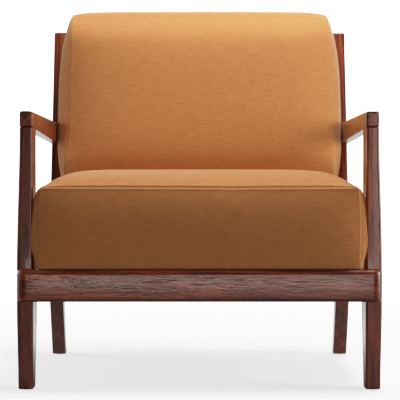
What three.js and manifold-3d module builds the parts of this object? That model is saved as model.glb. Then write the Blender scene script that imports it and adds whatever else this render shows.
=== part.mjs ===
// A wooden armchair with a loose seat cushion and a loose back cushion.
// Millimetres, +Z up. The sitter faces -Y; left and right are the sitter's own, so left is +X.
// Inside this file Y is measured back from the front faces of the front legs and Z up from the
// floor. The finished group is then moved so that its origin lies on the floor, under the middle
// of its outer box.

import * as THREE from 'three';
import { mergeVertices } from 'three/addons/utils/BufferGeometryUtils.js';
import Module from 'manifold-3d';

const wasm = await Module();
wasm.setup();

// ---- Driving dimensions ---------------------------------------------------------------------

const GAP = 0.3; // between pieces that touch
const ROUND = 16; // sides of a round piece
const FLOOR_CLEARANCE = 2; // the glides lift the feet by this much

// Front legs: flat inner face, deepest and widest at the seat rail.
const LEG_INNER_X = 331;
const LEG_OUTER_X = { foot: 361, rail: 364, top: 358 };
const LEG_DEPTH = { foot: 50, rail: 100, top: 72 };
const LEG_BELLY = { low: 175, high: 246 }; // heights between which the leg keeps its full depth
const LEG_TOP = 524;

// Rear legs: one board each, bent at the knee, with the back stile above it.
const REAR_LEG_X = { inner: 315.5, outer: 346.5 };
const KNEE = { y: 553, z: 189 };
const BACK_LEAN = THREE.MathUtils.degToRad(17.8);
const REAR_SPLAY = THREE.MathUtils.degToRad(31.3);
const STILE_TOP = 765;
const STILE_DEPTH = 32; // square to the stile, at its top
const KNEE_DEPTH = 58;
const REAR_FOOT_DEPTH = 42; // along the floor

// Arms: narrower and taller towards the back.
const ARM_INNER_X = { front: 331, rear: 327 };
const ARM_OUTER_X = { front: 358, rear: 347 };
const ARM_TOP = { front: 556.5, rear: 545 };
const ARM_REAR_BOTTOM = 496;

// Front rail: a broad board that laps over the front legs, with rounded ends.
const FRONT_RAIL = { halfWidth: 363.5, thickness: 22, bottom: 177.5, top: 241.5, endRadius: 20 };

// Seat deck: a plane that falls towards the back, which the cushion lies on.
const SEAT_TILT = THREE.MathUtils.degToRad(5);
const DECK_FRONT = 242; // height of the deck at the front legs' front faces
const SIDE_RAIL = { inner: 320, outer: 344, height: 50, rebateWidth: 12, rebateDepth: 6 };
const REAR_RAIL = { front: 583, thickness: 24, height: 50 };
const STRAPS = { count: 6, width: 50, thickness: 3, first: 143, pitch: 72 };
const CLIP = { length: 54, height: 5, width: 10.4 };

// Back frame, in the back's own leaning frame: y behind the stiles' front faces, z up from the knee.
const BACK_RAIL = { thickness: 22, setBack: 5 };
const TOP_RAIL = { bottom: 520, height: 58 };
const LOWER_RAIL = { bottom: 92, height: 50 };
const SLATS = { count: 7, width: 38, thickness: 9, pitch: 82 };

// Joinery.
const RAIL_TENON = { thickness: 8, height: 30, length: 22 };
const BACK_TENON = { thickness: 10, inset: 8, length: 16 };
const SLAT_TENON = 12;
const DOWEL_RADIUS = 4;
const ARM_BOLT = { height: 518, x: 336, shaft: 3.5, head: 6.5, headLength: 5, length: 86, recess: 8 };
const CORNER_BLOCK = { alongX: 50, alongY: 60 };
const GLIDE = { radius: 10, nail: 1.5, nailLength: 14 };

// Cushions, measured at their seams, with how far each side swells beyond them.
const SEAT_CUSHION = {
  halfWidth: 318, front: -8, rear: 545, height: 161.5,
  swell: { side: 7, front: 12, rear: 3, top: 46 },
};
const BACK_CUSHION = {
  halfWidth: 299, front: -118, rear: -2, bottom: 181, top: 603,
  swell: { side: 20, front: 24, top: 22 },
};

// ---- Materials ------------------------------------------------------------------------------

const finish = (color, roughness, metalness = 0) =>
  new THREE.MeshStandardMaterial({ color, roughness, metalness });
const lacqueredWood = () => finish(0x5a2a18, 0.3);
const plainWood = () => finish(0xa9825a, 0.7);
const webbing = () => finish(0x2b211c, 0.9);
const steel = () => finish(0x9c9a94, 0.35, 1);
const woollenCloth = () => finish(0xb9814b, 0.95);

// ---- Geometry helpers -----------------------------------------------------------------------

const { lerp, smoothstep } = THREE.MathUtils;

// Turns a triangle geometry into a solid that can be joined and cut.
function solid(geometry) {
  const bare = new THREE.BufferGeometry();
  bare.setAttribute('position', geometry.getAttribute('position'));
  if (geometry.index) bare.setIndex(geometry.index);
  const welded = mergeVertices(bare, 1e-3);
  return new wasm.Manifold(new wasm.Mesh({
    numProp: 3,
    vertProperties: new Float32Array(welded.attributes.position.array),
    triVerts: new Uint32Array(welded.index.array),
  }));
}

function geometryOf(manifold) {
  const { vertProperties, triVerts } = manifold.getMesh();
  const geometry = new THREE.BufferGeometry();
  geometry.setAttribute('position', new THREE.BufferAttribute(vertProperties, 3));
  geometry.setIndex(new THREE.BufferAttribute(triVerts, 1));
  geometry.computeVertexNormals();
  return geometry;
}

const cut = (geometry, ...tools) =>
  geometryOf(tools.reduce((left, tool) => left.subtract(solid(tool)), solid(geometry)));
const join = (geometry, ...others) =>
  geometryOf(others.reduce((whole, other) => whole.add(solid(other)), solid(geometry)));

// A box between two corners, grown on every side.
function box(low, high, grow = 0) {
  const size = high.map((value, axis) => value - low[axis] + 2 * grow);
  const middle = high.map((value, axis) => (value + low[axis]) / 2);
  return new THREE.BoxGeometry(...size).translate(...middle);
}

// The same box on the sitter's left (side 1) or mirrored to the right (side -1).
function sidedBox(side, low, high, grow = 0) {
  const xs = [side * low[0], side * high[0]].sort((a, b) => a - b);
  return box([xs[0], low[1], low[2]], [xs[1], high[1], high[2]], grow);
}

// An outline drawn in Y and Z, thickened along X from x0 to x1 on the given side.
const ACROSS = new THREE.Matrix4().makeBasis(
  new THREE.Vector3(0, 1, 0), new THREE.Vector3(0, 0, 1), new THREE.Vector3(1, 0, 0));
function board(shape, side, x0, x1, curveSegments = 8) {
  const start = side > 0 ? x0 : -x1;
  return new THREE.ExtrudeGeometry(shape, { depth: x1 - x0, bevelEnabled: false, curveSegments })
    .applyMatrix4(ACROSS).translate(start, 0, 0);
}

// An outline drawn in X and Y, thickened upwards from z0 to z1.
function slab(points, z0, z1) {
  const shape = new THREE.Shape(points.map(([x, y]) => new THREE.Vector2(x, y)));
  return new THREE.ExtrudeGeometry(shape, { depth: z1 - z0, bevelEnabled: false })
    .translate(0, 0, z0);
}

// A closed skin over a row of four-cornered rings.
function loft(rings) {
  const positions = rings.flat(2);
  const index = [];
  const quad = (a, b, c, d) => index.push(a, b, c, a, c, d);
  for (let ring = 0; ring + 1 < rings.length; ring++) {
    for (let corner = 0; corner < 4; corner++) {
      const next = (corner + 1) % 4;
      quad(4 * ring + corner, 4 * ring + next, 4 * ring + 4 + next, 4 * ring + 4 + corner);
    }
  }
  const last = positions.length / 3 - 4;
  quad(3, 2, 1, 0);
  quad(last, last + 1, last + 2, last + 3);
  const geometry = new THREE.BufferGeometry();
  geometry.setAttribute('position', new THREE.Float32BufferAttribute(positions, 3));
  geometry.setIndex(index);
  return geometry;
}

// Rings are listed for the left side; the right side is their mirror image.
function sidedLoft(side, rings) {
  if (side > 0) return loft(rings);
  return loft(rings.map((ring) => ring.map(([x, y, z]) => [-x, y, z]).reverse()));
}

// A round bar between two points along one of the axes 'x', 'y' or 'z'.
function rod(axis, radius, from, to) {
  const length = Math.hypot(to[0] - from[0], to[1] - from[1], to[2] - from[2]);
  const geometry = new THREE.CylinderGeometry(radius, radius, length, ROUND);
  if (axis === 'x') geometry.rotateZ(Math.PI / 2);
  if (axis === 'z') geometry.rotateX(Math.PI / 2);
  return geometry.translate(...from.map((value, i) => (value + to[i]) / 2));
}

// A cushion: a box whose faces swell, each by its own amount, and not at the seams.
function cushionGeometry(low, high, swell, segments) {
  const middle = low.map((value, i) => (value + high[i]) / 2);
  const half = low.map((value, i) => (high[i] - value) / 2);
  const skin = new THREE.BoxGeometry(...half.map((h) => 2 * h), ...segments).translate(...middle);
  const place = skin.getAttribute('position');
  const fall = (t) => 1 - t ** 4;
  for (let i = 0; i < place.count; i++) {
    const p = [place.getX(i), place.getY(i), place.getZ(i)];
    const t = p.map((value, axis) => (value - middle[axis]) / half[axis]);
    const moved = p.map((value, axis) => {
      const [b, c] = [t[(axis + 1) % 3], t[(axis + 2) % 3]];
      const amount = t[axis] > 0 ? swell[axis][1] : swell[axis][0];
      return value + t[axis] * amount * fall(b) * fall(c);
    });
    place.setXYZ(i, ...moved);
  }
  return skin;
}

// ---- Shapes that neighbours share -----------------------------------------------------------

const deckHeight = (y) => DECK_FRONT - y * Math.tan(SEAT_TILT);

// Depth of a front leg at a height, and the place of its outer face.
function legDepth(z) {
  const { foot, rail, top } = LEG_DEPTH;
  if (z < LEG_BELLY.low) return lerp(foot, rail, smoothstep(z, -20, LEG_BELLY.low));
  return lerp(rail, top, smoothstep(z, LEG_BELLY.high, 0.8 * LEG_TOP));
}
function legOuter(z) {
  const { foot, rail, top } = LEG_OUTER_X;
  if (z < LEG_BELLY.low) return lerp(foot, rail, smoothstep(z, 0, LEG_BELLY.low));
  return lerp(rail, top, smoothstep(z, LEG_BELLY.high, LEG_TOP));
}

// The front edge of a rear leg and its stile at a height.
const rearFront = (z) => KNEE.y
  + (z < KNEE.z ? (KNEE.z - z) * Math.tan(REAR_SPLAY) : (z - KNEE.z) * Math.tan(BACK_LEAN));

const armBottom = (y) => lerp(LEG_TOP + GAP, ARM_REAR_BOTTOM, y / rearFront(ARM_REAR_BOTTOM));

// Tenons, as low and high corners on the left side. Their mortises are a GAP larger all round.
function sideRailTenons() {
  const frontZ = deckHeight(LEG_DEPTH.rail) - SIDE_RAIL.height / 2;
  const rearZ = deckHeight(KNEE.y) - SIDE_RAIL.height / 2 - 2;
  const x = [SIDE_RAIL.inner + 12, SIDE_RAIL.inner + 12 + RAIL_TENON.thickness];
  const half = RAIL_TENON.height / 2;
  return {
    front: [[x[0], LEG_DEPTH.rail - RAIL_TENON.length, frontZ - half],
      [x[1], LEG_DEPTH.rail + 10, frontZ + half]],
    rear: [[x[0], KNEE.y - 10, rearZ - half], [x[1], KNEE.y + 29, rearZ + half]],
  };
}
function rearRailTenon() {
  const top = deckHeight(REAR_RAIL.front) - 8;
  const inset = (REAR_RAIL.thickness - RAIL_TENON.thickness) / 2;
  return [[REAR_LEG_X.inner - 10, REAR_RAIL.front + inset + 4, top - 34],
    [REAR_LEG_X.inner + 16, REAR_RAIL.front + inset + 4 + RAIL_TENON.thickness, top]];
}
function backRailTenon(rail) {
  const inset = BACK_RAIL.setBack + (BACK_RAIL.thickness - BACK_TENON.thickness) / 2;
  return [[REAR_LEG_X.inner - 10, inset, rail.bottom + BACK_TENON.inset],
    [REAR_LEG_X.inner + BACK_TENON.length, inset + BACK_TENON.thickness,
      rail.bottom + rail.height - BACK_TENON.inset]];
}

// Moves a geometry from the back's leaning frame, or the seat deck's tilted one, into the chair's.
const fromBack = (geometry) => geometry.rotateX(-BACK_LEAN).translate(0, KNEE.y, KNEE.z);
const fromDeck = (geometry) => geometry.rotateX(-SEAT_TILT).translate(0, 0, DECK_FRONT);

// Dowels that pin the arm to the leg top and the front rail to the leg face.
const armDowels = [20, 52].map((y) => ({ x: 344.5, y, low: LEG_TOP - 20, high: LEG_TOP + 16 }));
const railDowels = [194, 224].map((z) => ({ x: 345, z, front: -12, rear: 24 }));

// ---- Pieces ---------------------------------------------------------------------------------

const chair = new THREE.Group();
const SIDES = [['left', 1], ['right', -1]];

function add(name, geometry, material) {
  const mesh = new THREE.Mesh(geometry, material);
  mesh.name = name;
  chair.add(mesh);
}

function frontLeg(side) {
  const levels = 16;
  const rings = [];
  for (let i = 0; i <= levels; i++) {
    const z = lerp(FLOOR_CLEARANCE, LEG_TOP, i / levels);
    const [x0, x1, y1] = [LEG_INNER_X, legOuter(z), legDepth(z)];
    const rearZ = i < levels ? z : armBottom(y1) - GAP; // the top slopes with the arm
    rings.push([[x0, 0, z], [x1, 0, z], [x1, y1, rearZ], [x0, y1, rearZ]]);
  }
  const holes = armDowels.map(({ x, y, low }) =>
    rod('z', DOWEL_RADIUS + GAP, [side * x, y, low - GAP], [side * x, y, LEG_TOP + 5]));
  for (const { x, z, rear } of railDowels) {
    holes.push(rod('y', DOWEL_RADIUS + GAP, [side * x, -5, z], [side * x, rear + GAP, z]));
  }
  const nail = [side * (LEG_INNER_X + LEG_OUTER_X.foot) / 2, LEG_DEPTH.foot / 2];
  return cut(sidedLoft(side, rings), sidedBox(side, ...sideRailTenons().front, GAP),
    nailHole(nail), ...holes);
}

function rearLeg(side) {
  const point = (origin, angle, distance) =>
    [origin[0] + distance * Math.sin(angle), origin[1] + distance * Math.cos(angle)];
  const footFront = [rearFront(FLOOR_CLEARANCE), FLOOR_CLEARANCE];
  const footRear = [footFront[0] + REAR_FOOT_DEPTH, FLOOR_CLEARANCE];
  const topFront = [rearFront(STILE_TOP), STILE_TOP];
  const topRear = point(topFront, BACK_LEAN + Math.PI / 2, STILE_DEPTH);
  const kneeRear = [KNEE.y + KNEE_DEPTH, KNEE.z + 8];
  const towards = (from, to, share) => from.map((value, i) => lerp(value, to[i], share));
  const shape = new THREE.Shape();
  shape.moveTo(...footFront);
  shape.lineTo(...footRear);
  shape.lineTo(...towards(kneeRear, footRear, 0.45));
  shape.quadraticCurveTo(...kneeRear, ...towards(kneeRear, topRear, 0.25));
  shape.lineTo(...topRear);
  shape.lineTo(...topFront);
  shape.lineTo(KNEE.y, KNEE.z);
  const backMortises = [TOP_RAIL, LOWER_RAIL].map((rail) =>
    fromBack(sidedBox(side, ...backRailTenon(rail), GAP)));
  const { x, height, shaft, head, headLength, recess } = ARM_BOLT;
  const rearFace = boltRearFace();
  const shaftHole = rod('y', shaft + GAP, [side * x, 500, height], [side * x, 800, height]);
  const headHole = rod('y', head + GAP, [side * x, rearFace - recess - headLength, height],
    [side * x, 800, height]);
  const nail = [side * (REAR_LEG_X.inner + REAR_LEG_X.outer) / 2, footFront[0] + REAR_FOOT_DEPTH / 2];
  return cut(board(shape, side, REAR_LEG_X.inner, REAR_LEG_X.outer),
    sidedBox(side, ...sideRailTenons().rear, GAP), sidedBox(side, ...rearRailTenon(), GAP),
    ...backMortises, shaftHole, headHole, nailHole(nail));
}

function arm(side) {
  const steps = 6;
  const rings = [];
  for (let i = 0; i <= steps; i++) {
    const along = i / steps;
    const top = lerp(ARM_TOP.front, ARM_TOP.rear, along);
    const bottomY = along * (rearFront(ARM_REAR_BOTTOM) - GAP);
    const topY = along * (rearFront(ARM_TOP.rear) - GAP);
    const x0 = lerp(ARM_INNER_X.front, ARM_INNER_X.rear, along);
    const x1 = lerp(ARM_OUTER_X.front, ARM_OUTER_X.rear, along);
    const bottom = armBottom(bottomY);
    rings.push([[x0, bottomY, bottom], [x0, topY, top], [x1, topY, top], [x1, bottomY, bottom]]);
  }
  const holes = armDowels.map(({ x, y, high }) =>
    rod('z', DOWEL_RADIUS + GAP, [side * x, y, LEG_TOP - 5], [side * x, y, high + GAP]));
  const { x, height, shaft, length } = ARM_BOLT;
  const tip = boltRearFace() - length;
  const boltHole = rod('y', shaft + GAP, [side * x, tip - GAP, height], [side * x, 720, height]);
  return cut(sidedLoft(side, rings), boltHole, ...holes);
}

function frontRail() {
  const { halfWidth, thickness, bottom, top, endRadius } = FRONT_RAIL;
  const shape = new THREE.Shape();
  shape.moveTo(halfWidth, -GAP);
  shape.lineTo(-halfWidth, -GAP);
  shape.absarc(-halfWidth + endRadius, endRadius - thickness, endRadius, Math.PI, 1.5 * Math.PI);
  shape.absarc(halfWidth - endRadius, endRadius - thickness, endRadius, 1.5 * Math.PI, 2 * Math.PI);
  const rail = new THREE.ExtrudeGeometry(shape,
    { depth: top - bottom, bevelEnabled: false, curveSegments: 8 }).translate(0, 0, bottom);
  const holes = SIDES.flatMap(([, side]) => railDowels.map(({ x, z, front }) =>
    rod('y', DOWEL_RADIUS + GAP, [side * x, front - GAP, z], [side * x, 5, z])));
  return cut(rail, ...holes);
}

function sideRail(side) {
  const { inner, outer, height, rebateWidth, rebateDepth } = SIDE_RAIL;
  const frontY = LEG_DEPTH.rail + GAP;
  const topEnd = deckHeight(KNEE.y) - 1;
  const shape = new THREE.Shape();
  shape.moveTo(frontY, deckHeight(frontY) - 1 - height);
  shape.lineTo(rearFront(topEnd - height) - GAP, topEnd - height);
  shape.lineTo(KNEE.y - GAP, KNEE.z);
  shape.lineTo(rearFront(topEnd) - GAP, topEnd);
  shape.lineTo(frontY, deckHeight(frontY) - 1);
  const { front, rear } = sideRailTenons();
  const rail = join(board(shape, side, inner, outer), sidedBox(side, ...front),
    sidedBox(side, ...rear));
  return cut(rail, fromDeck(sidedBox(side, [inner - 5, 0, -1 - rebateDepth],
    [inner + rebateWidth, 700, 20])));
}

function rearRail() {
  const { front, thickness, height } = REAR_RAIL;
  const halfWidth = REAR_LEG_X.inner - GAP;
  const top = deckHeight(front) - 1;
  const body = box([-halfWidth, front, top - height], [halfWidth, front + thickness, top]);
  return join(body, ...SIDES.map(([, side]) => sidedBox(side, ...rearRailTenon())));
}

function backRail(rail) {
  const halfWidth = REAR_LEG_X.inner - GAP;
  const { thickness, setBack } = BACK_RAIL;
  const body = box([-halfWidth, setBack, rail.bottom],
    [halfWidth, setBack + thickness, rail.bottom + rail.height]);
  const whole = join(body, ...SIDES.map(([, side]) => sidedBox(side, ...backRailTenon(rail))));
  return fromBack(cut(whole, ...slatBoxes().map(([low, high]) => box(low, high, GAP))));
}

// The slats stand in slots in both back rails.
function slatBoxes() {
  const { count, width, thickness, pitch } = SLATS;
  const front = BACK_RAIL.setBack + (BACK_RAIL.thickness - thickness) / 2;
  const low = LOWER_RAIL.bottom + LOWER_RAIL.height - SLAT_TENON;
  const high = TOP_RAIL.bottom + SLAT_TENON;
  return Array.from({ length: count }, (_, i) => {
    const x = (i - (count - 1) / 2) * pitch;
    return [[x - width / 2, front, low], [x + width / 2, front + thickness, high]];
  });
}

// A strap lies across the seat, and a steel clip on each end sits in the side rail's rebate.
function strap(y) {
  const halfLength = SIDE_RAIL.inner + 0.5;
  const top = -2;
  return fromDeck(box([-halfLength, y - STRAPS.width / 2, top - STRAPS.thickness],
    [halfLength, y + STRAPS.width / 2, top]));
}
function clip(side, y) {
  const low = -1 - SIDE_RAIL.rebateDepth + GAP;
  const inner = SIDE_RAIL.inner + 0.5 + GAP;
  return fromDeck(sidedBox(side, [inner, y - CLIP.length / 2, low],
    [inner + CLIP.width, y + CLIP.length / 2, low + CLIP.height]));
}

// Glued blocks stiffen the corners behind the front rail and ahead of the rear rail.
function frontCornerBlock(side) {
  const { alongX, alongY } = CORNER_BLOCK;
  const x = side * (LEG_INNER_X - GAP);
  const points = [[x, GAP], [x, alongY], [x - side * alongX, GAP]];
  return slab(side > 0 ? points : points.reverse(), FRONT_RAIL.bottom + 8, FRONT_RAIL.top - 14);
}
function rearCornerBlock(side) {
  const { alongX, alongY } = CORNER_BLOCK;
  const top = deckHeight(REAR_RAIL.front) - 9;
  const y = REAR_RAIL.front - GAP;
  const legSide = side * (REAR_LEG_X.inner - GAP);
  const railSide = side * (SIDE_RAIL.inner - GAP);
  const step = KNEE.y - 2;
  const points = [[legSide - side * alongX, y], [railSide, y - alongY], [railSide, step],
    [legSide, step], [legSide, y]];
  return slab(side > 0 ? points : points.reverse(), top - 32, top);
}

// The bolt runs level from the back of the stile into the end of the arm.
const boltRearFace = () => rearFront(ARM_BOLT.height) + 40;
function armBolt(side) {
  const { x, height, shaft, head, headLength, length, recess } = ARM_BOLT;
  const headRear = boltRearFace() - recess;
  const shoulder = headRear - headLength;
  const tip = boltRearFace() - length;
  return join(rod('y', shaft, [side * x, tip, height], [side * x, headRear - 1, height]),
    rod('y', head, [side * x, shoulder + GAP, height], [side * x, headRear, height]));
}

function dowelUp({ x, y, low, high }, side) {
  return rod('z', DOWEL_RADIUS, [side * x, y, low], [side * x, y, high]);
}
function dowelBack({ x, z, front, rear }, side) {
  return rod('y', DOWEL_RADIUS, [side * x, front, z], [side * x, rear, z]);
}

// A nail-on glide: a low disc with a nail in the end grain of the foot.
function glide([x, y]) {
  const { radius, nail, nailLength } = GLIDE;
  const top = FLOOR_CLEARANCE - GAP;
  const profile = [[0, 0], [radius - 1, 0], [radius, 0.8], [radius, top], [nail, top],
    [nail, nailLength], [0, nailLength]].map(([r, z]) => new THREE.Vector2(r, z));
  return new THREE.LatheGeometry(profile, ROUND).rotateX(Math.PI / 2).translate(x, y, 0);
}
function nailHole([x, y]) {
  return rod('z', GLIDE.nail + GAP, [x, y, -5], [x, y, GLIDE.nailLength + GAP]);
}

function seatCushion() {
  const { halfWidth, front, rear, height, swell } = SEAT_CUSHION;
  const sides = [[swell.side, swell.side], [swell.front, swell.rear], [0, swell.top]];
  return fromDeck(cushionGeometry([-halfWidth, front, 0.5], [halfWidth, rear, height], sides,
    [12, 10, 4]));
}
function backCushion() {
  const { halfWidth, front, rear, bottom, top, swell } = BACK_CUSHION;
  const sides = [[swell.side, swell.side], [swell.front, 0], [0, swell.top]];
  return fromBack(cushionGeometry([-halfWidth, front, bottom], [halfWidth, rear, top], sides,
    [12, 4, 10]));
}

// ---- Assembly -------------------------------------------------------------------------------

for (const [name, side] of SIDES) {
  add(`front_leg_${name}`, frontLeg(side), lacqueredWood());
  add(`rear_leg_${name}`, rearLeg(side), lacqueredWood());
  add(`arm_${name}`, arm(side), lacqueredWood());
  add(`side_rail_${name}`, sideRail(side), lacqueredWood());
  add(`front_corner_block_${name}`, frontCornerBlock(side), plainWood());
  add(`rear_corner_block_${name}`, rearCornerBlock(side), plainWood());
  add(`arm_bolt_${name}`, armBolt(side), steel());
  armDowels.forEach((dowel, i) =>
    add(`arm_dowel_${name}_${i + 1}`, dowelUp(dowel, side), plainWood()));
  railDowels.forEach((dowel, i) =>
    add(`front_rail_dowel_${name}_${i + 1}`, dowelBack(dowel, side), plainWood()));
  const frontFoot = [side * (LEG_INNER_X + LEG_OUTER_X.foot) / 2, LEG_DEPTH.foot / 2];
  const rearFoot = [side * (REAR_LEG_X.inner + REAR_LEG_X.outer) / 2,
    rearFront(FLOOR_CLEARANCE) + REAR_FOOT_DEPTH / 2];
  add(`front_glide_${name}`, glide(frontFoot), steel());
  add(`rear_glide_${name}`, glide(rearFoot), steel());
}
add('front_rail', frontRail(), lacqueredWood());
add('rear_rail', rearRail(), lacqueredWood());
add('back_top_rail', backRail(TOP_RAIL), lacqueredWood());
add('back_lower_rail', backRail(LOWER_RAIL), lacqueredWood());
slatBoxes().forEach(([low, high], i) =>
  add(`back_slat_${i + 1}`, fromBack(box(low, high)), lacqueredWood()));
for (let i = 0; i < STRAPS.count; i++) {
  const y = STRAPS.first + i * STRAPS.pitch;
  add(`seat_strap_${i + 1}`, strap(y), webbing());
  for (const [name, side] of SIDES) add(`strap_clip_${name}_${i + 1}`, clip(side, y), steel());
}
add('seat_cushion', seatCushion(), woollenCloth());
add('back_cushion', backCushion(), woollenCloth());

// The origin goes on the floor under the middle of the outer box.
const outer = new THREE.Box3().setFromObject(chair);
const centre = outer.getCenter(new THREE.Vector3());
chair.position.set(-centre.x, -centre.y, -outer.min.z);

export default chair;
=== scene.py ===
"""Looks for a wooden armchair with loose cushions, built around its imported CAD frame."""

import math
import random

import bmesh
import bpy
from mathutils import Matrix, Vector, kdtree


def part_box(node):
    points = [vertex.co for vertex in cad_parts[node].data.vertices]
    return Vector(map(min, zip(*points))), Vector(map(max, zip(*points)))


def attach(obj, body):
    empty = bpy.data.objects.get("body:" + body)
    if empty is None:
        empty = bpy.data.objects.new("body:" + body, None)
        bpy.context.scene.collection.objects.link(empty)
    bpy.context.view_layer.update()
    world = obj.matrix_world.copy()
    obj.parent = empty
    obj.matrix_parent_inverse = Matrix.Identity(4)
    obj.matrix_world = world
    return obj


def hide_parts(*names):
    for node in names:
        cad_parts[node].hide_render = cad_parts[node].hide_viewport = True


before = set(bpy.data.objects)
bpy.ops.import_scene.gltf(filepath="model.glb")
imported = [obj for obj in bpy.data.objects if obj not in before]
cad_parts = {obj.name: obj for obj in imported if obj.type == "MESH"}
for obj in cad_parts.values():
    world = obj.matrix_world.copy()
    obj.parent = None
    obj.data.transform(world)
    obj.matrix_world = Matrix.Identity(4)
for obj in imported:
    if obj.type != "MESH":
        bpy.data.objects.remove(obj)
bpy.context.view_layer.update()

MM = 0.001
X_AXIS, Y_AXIS, Z_AXIS = Vector((1, 0, 0)), Vector((0, 1, 0)), Vector((0, 0, 1))
SIDES = (("left", 1), ("right", -1))
random.seed(7)

# ---- Places taken from the frame, in metres ---------------------------------------------------

front_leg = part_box("front_leg_left")
arm_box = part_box("arm_left")
rear_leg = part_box("rear_leg_left")
front_rail_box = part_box("front_rail")

FRONT_Y = front_leg[0].y  # the plane of the front legs' front faces
FLOOR_CLEARANCE = front_leg[0].z
LEG_INNER_X = front_leg[0].x
LEG_TOP = front_leg[1].z
LEG_RAIL_DEPTH = front_leg[1].y - front_leg[0].y
LEG_RAIL_OUTER_X = front_leg[1].x

# ---- Driving dimensions, in metres ------------------------------------------------------------

LEG_FOOT = {"outer": 361 * MM, "depth": 50 * MM}
LEG_HEAD = {"outer": 358 * MM, "depth": 72 * MM}
LEG_BELLY = (175 * MM, 246 * MM)  # heights between which the leg keeps its full depth

ARM_FRONT = {"inner": 331 * MM, "outer": 358 * MM, "top": 556.5 * MM}
ARM_REAR = {"inner": 327 * MM, "outer": 347 * MM, "top": 545 * MM, "bottom": 496 * MM}

KNEE_Y, KNEE_Z = FRONT_Y + 553 * MM, 189 * MM  # where a rear leg bends into its stile
BACK_LEAN = math.radians(17.8)
REAR_SPLAY = math.radians(31.3)
STILE_TOP = 765 * MM
STILE_DEPTH = 32 * MM
KNEE_DEPTH = 58 * MM
REAR_FOOT_DEPTH = 42 * MM

FRONT_RAIL_END_RADIUS = 20 * MM  # in plan
FRONT_RAIL_CORNER = 8 * MM  # in elevation
SEAT_TILT = math.radians(5)
DECK_FRONT = 242 * MM

LEG_JOINT, ARM_JOINT = 0.4 * MM, 0.3 * MM  # gaps below and above the line where a leg meets its arm

# ---- Frames that lean -------------------------------------------------------------------------


def back_point(x, behind, up):
    """A point in the back's leaning frame: behind the stiles' front faces, and up from the knee."""
    return Vector((x, KNEE_Y + behind * math.cos(BACK_LEAN) + up * math.sin(BACK_LEAN),
                   KNEE_Z - behind * math.sin(BACK_LEAN) + up * math.cos(BACK_LEAN)))


def deck_point(x, back, up):
    """A point in the seat deck's tilted frame: back along the deck, and up from it."""
    return Vector((x, FRONT_Y + back * math.cos(SEAT_TILT) + up * math.sin(SEAT_TILT),
                   DECK_FRONT - back * math.sin(SEAT_TILT) + up * math.cos(SEAT_TILT)))


def rear_front(z):
    """The front edge of a rear leg and its stile at a height."""
    if z < KNEE_Z:
        return KNEE_Y + (KNEE_Z - z) * math.tan(REAR_SPLAY)
    return KNEE_Y + (z - KNEE_Z) * math.tan(BACK_LEAN)


# ---- Small helpers ----------------------------------------------------------------------------


def lerp(a, b, t):
    """The value a share t of the way from a to b."""
    return a + (b - a) * t


def smooth(value, low, high):
    """Rises smoothly from 0 to 1 as the value goes from low to high."""
    t = min(1.0, max(0.0, (value - low) / (high - low)))
    return t * t * (3 - 2 * t)


def dome(t, power):
    """1 in the middle, 0 where t is 1 or -1; flatter in between for a higher power."""
    return 1 - abs(t) ** power


def spread(start, end, count):
    """Evenly spaced values, with both ends."""
    return [lerp(start, end, i / (count - 1)) for i in range(count)]


def new_object(name, mesh):
    """Adds a mesh to the scene."""
    obj = bpy.data.objects.new(name, mesh)
    bpy.context.scene.collection.objects.link(obj)
    return obj


def finish_piece(obj, material, body, slot, *nodes):
    """Gives a piece its material and the body it moves with, and hides the CAD nodes it stands for."""
    obj.data.materials.clear()
    obj.data.materials.append(material)
    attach(obj, body)
    if nodes:
        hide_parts(*nodes)
    return obj


# ---- Shader helpers ---------------------------------------------------------------------------


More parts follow.
